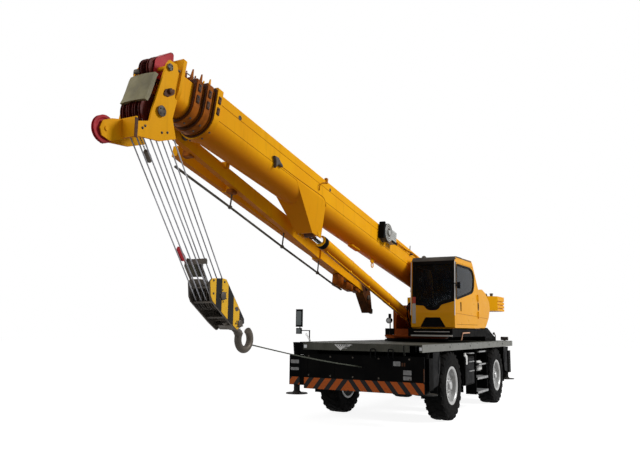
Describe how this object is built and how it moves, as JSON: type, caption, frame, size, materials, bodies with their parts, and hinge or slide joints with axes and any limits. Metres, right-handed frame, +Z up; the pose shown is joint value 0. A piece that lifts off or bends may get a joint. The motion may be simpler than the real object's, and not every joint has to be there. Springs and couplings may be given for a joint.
{
  "type": "mobile crane",
  "caption": "Two-axle rough-terrain mobile crane with a telescopic boom, side cab, outriggers, stowed side jib and a hook block held back by its sling.",
  "frame": {"origin": "on the ground on the centre plane, midway between the two axles", "axes": "+X forward along the boom in travel position, +Y to the crane's left, +Z up"},
  "size_m": [12.9495, 2.86, 4.7884],
  "materials": {
    "boom_yellow": "gloss",
    "carrier_black": "satin",
    "deck_grey": "satin",
    "rim_silver": "satin",
    "tyre": "matte",
    "steel": "satin",
    "chrome": "polished",
    "sheave_red": "satin",
    "glass": "clear",
    "seat": "matte",
    "rope": "satin",
    "hook_black": "satin",
    "lamp": "gloss",
    "cylinder": "gloss",
    "engine": "matte",
    "axle": "satin"
  },
  "bodies": {
    "carrier": {"carrier_frame": "carrier_black", "slewing_ring": "carrier_black", "front_outrigger_box": "carrier_black", "rear_outrigger_box": "carrier_black", "deck": "deck_grey", "fenders": "carrier_black", "side_steps": "carrier_black", "side_tanks": "carrier_black", "driveline": "axle", "engine": "engine", "engine_hood": "carrier_black", "front_mirror": "carrier_black", "carrier_lamps": "lamp", "axle_front": "axle", "axle_rear": "axle"},
    "knuckle_front_left": {"knuckle_front_left": "axle"},
    "wheel_front_left": {"tyre_front_left": "tyre", "rim_front_left": "rim_silver"},
    "beam_front_left": {"outrigger_beam_front_left": "carrier_black"},
    "jack_front_left": {"jack_front_left": "steel"},
    "knuckle_front_right": {"knuckle_front_right": "axle"},
    "wheel_front_right": {"tyre_front_right": "tyre", "rim_front_right": "rim_silver"},
    "beam_front_right": {"outrigger_beam_front_right": "carrier_black"},
    "jack_front_right": {"jack_front_right": "steel"},
    "knuckle_rear_left": {"knuckle_rear_left": "axle"},
    "wheel_rear_left": {"tyre_rear_left": "tyre", "rim_rear_left": "rim_silver"},
    "beam_rear_left": {"outrigger_beam_rear_left": "carrier_black"},
    "jack_rear_left": {"jack_rear_left": "steel"},
    "knuckle_rear_right": {"knuckle_rear_right": "axle"},
    "wheel_rear_right": {"tyre_rear_right": "tyre", "rim_rear_right": "rim_silver"},
    "beam_rear_right": {"outrigger_beam_rear_right": "carrier_black"},
    "jack_rear_right": {"jack_rear_right": "steel"},
    "superstructure": {"turret": "boom_yellow", "turntable_deck": "carrier_black", "counterweight": "boom_yellow", "winches": "steel", "cab_shell": "boom_yellow", "cab_glass": "glass", "operator_seat": "seat", "rear_housing": "boom_yellow", "right_housing": "boom_yellow"},
    "cab_door": {"cab_door": "boom_yellow", "door_glass": "glass"},
    "boom_base": {"boom_base": "boom_yellow", "cable_reel": "carrier_black", "jib": "boom_yellow"},
    "boom_2": {"boom_section_2": "boom_yellow"},
    "boom_3": {"boom_section_3": "boom_yellow"},
    "boom_4": {"boom_section_4": "boom_yellow", "head_sheaves": "sheave_red", "auxiliary_arm": "boom_yellow"},
    "lift_barrel": {"lift_barrel": "cylinder"},
    "lift_rod": {"lift_rod": "chrome"},
    "falls": {"rope_falls": "rope", "hook_block": "hook_black"},
    "hook": {"hook": "hook_black"}
  },
  "joints": [
    {"name": "steer_front_left", "type": "hinge", "parent": "carrier", "child": "knuckle_front_left", "pos_m": [1.75, 0.86, 0.64], "axis": [0, 0, 1], "range_deg": [-30, 30]},
    {"name": "spin_front_left", "type": "hinge", "parent": "knuckle_front_left", "child": "wheel_front_left", "pos_m": [1.75, 1.085, 0.64], "axis": [0, 1, 0], "continuous": true},
    {"name": "extend_front_left", "type": "slide", "parent": "carrier", "child": "beam_front_left", "axis": [0, 1, 0], "range_m": [0, 1.7]},
    {"name": "lower_front_left", "type": "slide", "parent": "beam_front_left", "child": "jack_front_left", "axis": [0, 0, -1], "range_m": [0, 0.58]},
    {"name": "steer_front_right", "type": "hinge", "parent": "carrier", "child": "knuckle_front_right", "pos_m": [1.75, -0.86, 0.64], "axis": [0, 0, 1], "range_deg": [-30, 30]},
    {"name": "spin_front_right", "type": "hinge", "parent": "knuckle_front_right", "child": "wheel_front_right", "pos_m": [1.75, -1.085, 0.64], "axis": [0, 1, 0], "continuous": true},
    {"name": "extend_front_right", "type": "slide", "parent": "carrier", "child": "beam_front_right", "axis": [0, -1, 0], "range_m": [0, 1.7]},
    {"name": "lower_front_right", "type": "slide", "parent": "beam_front_right", "child": "jack_front_right", "axis": [0, 0, -1], "range_m": [0, 0.49]},
    {"name": "steer_rear_left", "type": "hinge", "parent": "carrier", "child": "knuckle_rear_left", "pos_m": [-1.75, 0.86, 0.64], "axis": [0, 0, 1], "range_deg": [-30, 30]},
    {"name": "spin_rear_left", "type": "hinge", "parent": "knuckle_rear_left", "child": "wheel_rear_left", "pos_m": [-1.75, 1.085, 0.64], "axis": [0, 1, 0], "continuous": true},
    {"name": "extend_rear_left", "type": "slide", "parent": "carrier", "child": "beam_rear_left", "axis": [0, 1, 0], "range_m": [0, 1.7]},
    {"name": "lower_rear_left", "type": "slide", "parent": "beam_rear_left", "child": "jack_rear_left", "axis": [0, 0, -1], "range_m": [0, 0.49]},
    {"name": "steer_rear_right", "type": "hinge", "parent": "carrier", "child": "knuckle_rear_right", "pos_m": [-1.75, -0.86, 0.64], "axis": [0, 0, 1], "range_deg": [-30, 30]},
    {"name": "spin_rear_right", "type": "hinge", "parent": "knuckle_rear_right", "child": "wheel_rear_right", "pos_m": [-1.75, -1.085, 0.64], "axis": [0, 1, 0], "continuous": true},
    {"name": "extend_rear_right", "type": "slide", "parent": "carrier", "child": "beam_rear_right", "axis": [0, -1, 0], "range_m": [0, 1.7]},
    {"name": "lower_rear_right", "type": "slide", "parent": "beam_rear_right", "child": "jack_rear_right", "axis": [0, 0, -1], "range_m": [0, 0.49]},
    {"name": "slew", "type": "hinge", "parent": "carrier", "child": "superstructure", "pos_m": [0.2, 0, 1.49], "axis": [0, 0, 1], "continuous": true},
    {"name": "boom_luff", "type": "hinge", "parent": "superstructure", "child": "boom_base", "pos_m": [-1, 0, 2.645], "axis": [0, -1, 0], "range_deg": [-10.4, 69.6]},
    {"name": "lift_tilt", "type": "hinge", "parent": "superstructure", "child": "lift_barrel", "pos_m": [0.05, 0, 1.765], "axis": [0, -1, 0], "range_deg": [-12, 72]},
    {"name": "lift_stroke", "type": "slide", "parent": "lift_barrel", "child": "lift_rod", "axis": [0.9611, 0, 0.2761], "range_m": [-0.24, 1.6]},
    {"name": "telescope_2", "type": "slide", "parent": "boom_base", "child": "boom_2", "axis": [0.9836, 0, 0.1805], "range_m": [0, 6]},
    {"name": "telescope_3", "type": "slide", "parent": "boom_2", "child": "boom_3", "axis": [0.9836, 0, 0.1805], "range_m": [0, 6]},
    {"name": "telescope_4", "type": "slide", "parent": "boom_3", "child": "boom_4", "axis": [0.9836, 0, 0.1805], "range_m": [0, 6]},
    {"name": "hook_hang", "type": "hinge", "parent": "boom_4", "child": "falls", "pos_m": [8.7774, 0, 3.9921], "axis": [0, -1, 0], "range_deg": [-40, 10]},
    {"name": "hook_swivel", "type": "hinge", "parent": "falls", "child": "hook", "pos_m": [7.09087, 0, 1.72044], "axis": [0.866, 0, 0.5], "continuous": true},
    {"name": "cab_door_hinge", "type": "hinge", "parent": "superstructure", "child": "cab_door", "pos_m": [-0.252, 1.269, 2.2], "axis": [0, 0, 1], "range_deg": [0, 110]}
  ],
  "couplings": [
    {"joint": "steer_front_right", "follows": "steer_front_left", "ratio": 1},
    {"joint": "steer_rear_right", "follows": "steer_rear_left", "ratio": 1},
    {"joint": "lift_tilt", "follows": "boom_luff", "ratio": 0.9973},
    {"joint": "lift_stroke", "follows": "boom_luff", "m_per_rad": 1.2872},
    {"joint": "telescope_3", "follows": "telescope_2", "ratio": 1},
    {"joint": "telescope_4", "follows": "telescope_2", "ratio": 1},
    {"joint": "hook_hang", "follows": "boom_luff", "ratio": -0.487}
  ]
}
